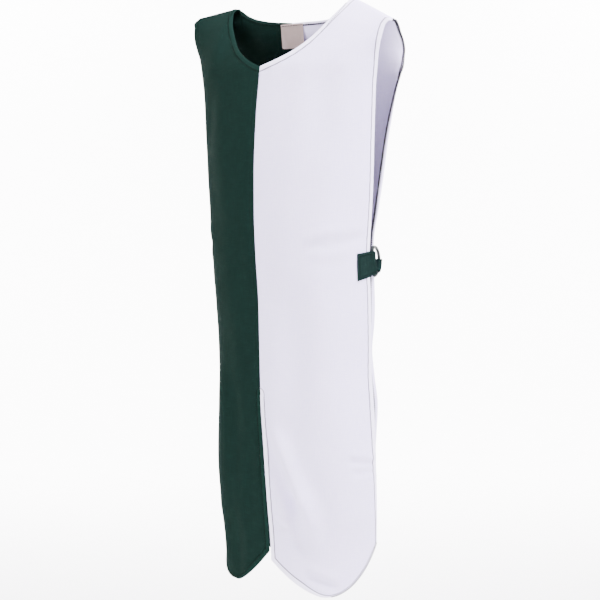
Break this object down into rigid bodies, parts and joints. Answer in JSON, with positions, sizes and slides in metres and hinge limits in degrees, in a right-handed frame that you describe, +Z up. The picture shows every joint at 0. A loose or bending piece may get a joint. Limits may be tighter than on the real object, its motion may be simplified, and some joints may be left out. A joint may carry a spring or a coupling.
{
  "type": "sleeveless parti-coloured tabard, hollow as if worn",
  "caption": "Knee-length sleeveless tabard of two green and two white cloth panels with a round neck, open sides held by strap and ring fastenings, centre slits and tongue-shaped hems.",
  "frame": {"origin": "midway between the neck ends of the two shoulder seams, where the wearer's shoulders hold the garment", "axes": "+Z up, the front faces -Y, the wearer's left is +X"},
  "size_m": [0.4651, 0.2131, 1.0686],
  "materials": {
    "green_cloth": "matt woven cotton",
    "white_cloth": "matt woven cotton",
    "cream_label": "smooth woven tape, left bare",
    "dark_steel": "dark satin wire"
  },
  "bodies": {
    "root": {"front_green": "green_cloth", "front_white": "white_cloth", "back_green": "green_cloth", "back_white": "white_cloth", "neck_label": "cream_label", "tab_left": "green_cloth", "tab_right": "green_cloth", "strap_left": "green_cloth", "strap_right": "green_cloth", "ring_left": "dark_steel", "ring_right": "dark_steel"}
  },
  "joints": []
}
